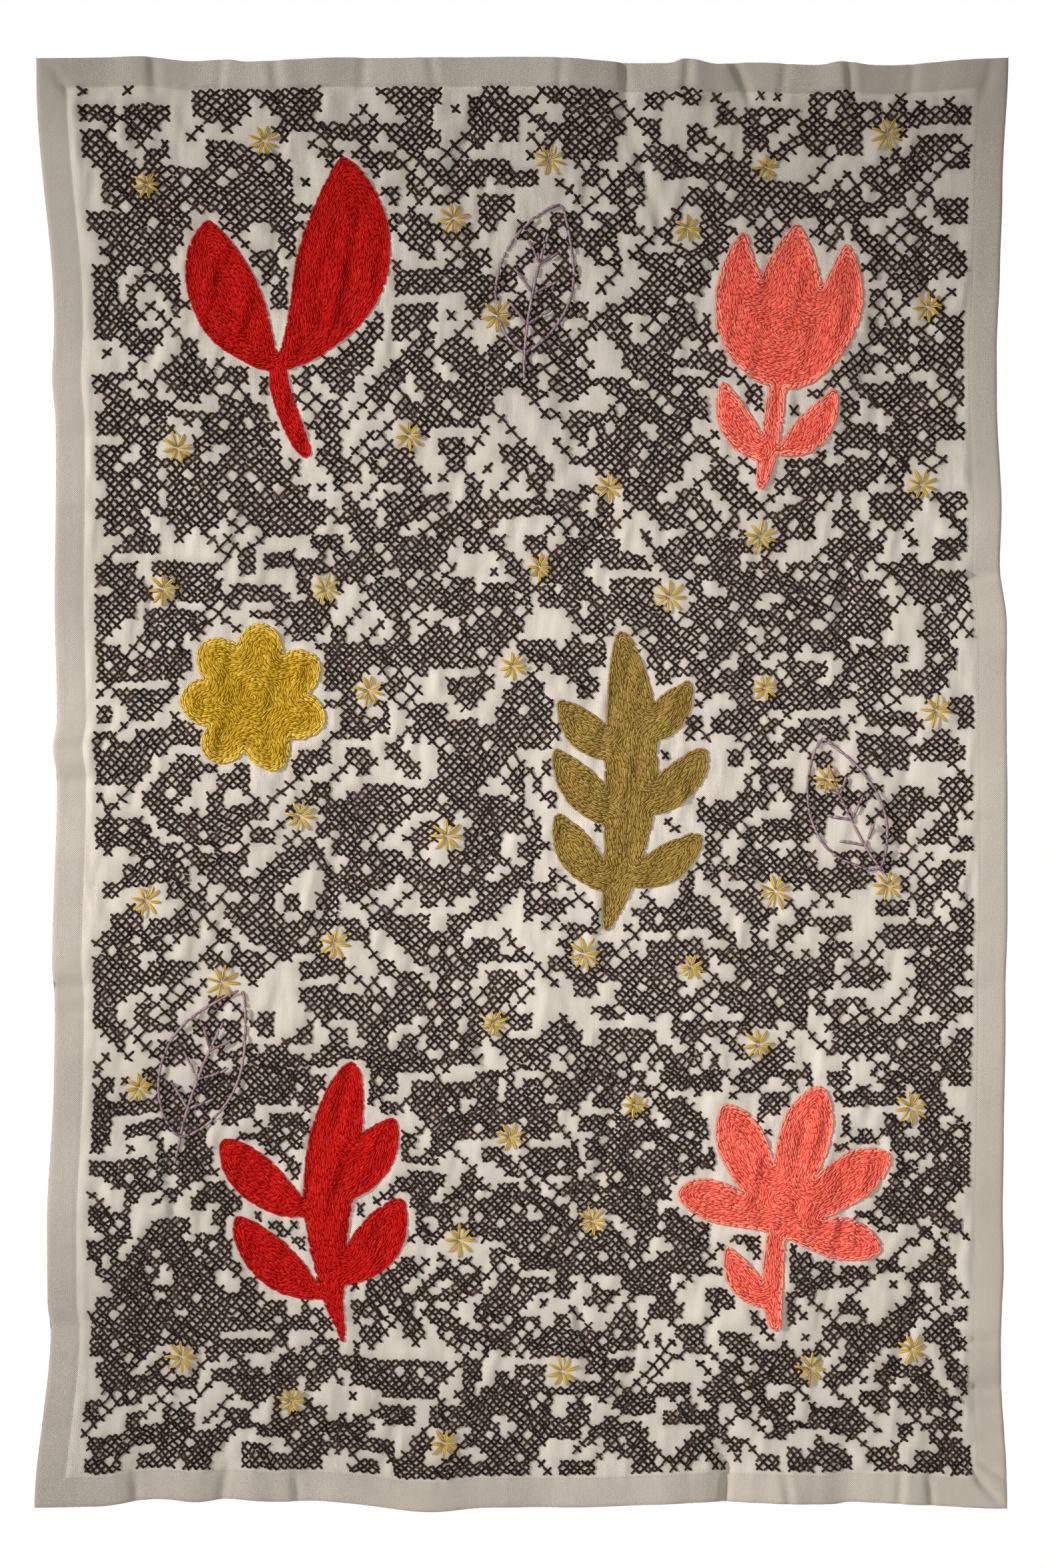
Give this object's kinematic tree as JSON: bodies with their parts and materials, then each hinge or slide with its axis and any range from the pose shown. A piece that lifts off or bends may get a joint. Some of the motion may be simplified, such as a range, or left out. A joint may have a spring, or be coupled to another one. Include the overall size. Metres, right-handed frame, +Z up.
{
  "type": "embroidered wall tapestry",
  "caption": "Hemmed cloth wall hanging with raised stitched leaf and flower motifs on its face, held along its top edge.",
  "frame": {"origin": "middle of the top edge, on the worked face, where the hanging is held", "axes": "+X to the right along the top edge as seen from the worked face, +Y into the wall, +Z up"},
  "size_m": [1.0064, 0.0159, 1.5051],
  "materials": {
    "cloth": "matte off-white twill",
    "red_yarn": "matte wool stitching",
    "coral_yarn": "matte wool stitching",
    "mustard_yarn": "matte wool stitching",
    "olive_yarn": "matte wool stitching"
  },
  "bodies": {
    "root": {"cloth": "cloth", "motif_red_sprout": "red_yarn", "motif_coral_tulip": "coral_yarn", "motif_mustard_rosette": "mustard_yarn", "motif_olive_fern": "olive_yarn", "motif_red_sprig": "red_yarn", "motif_coral_palmette": "coral_yarn"}
  },
  "joints": []
}
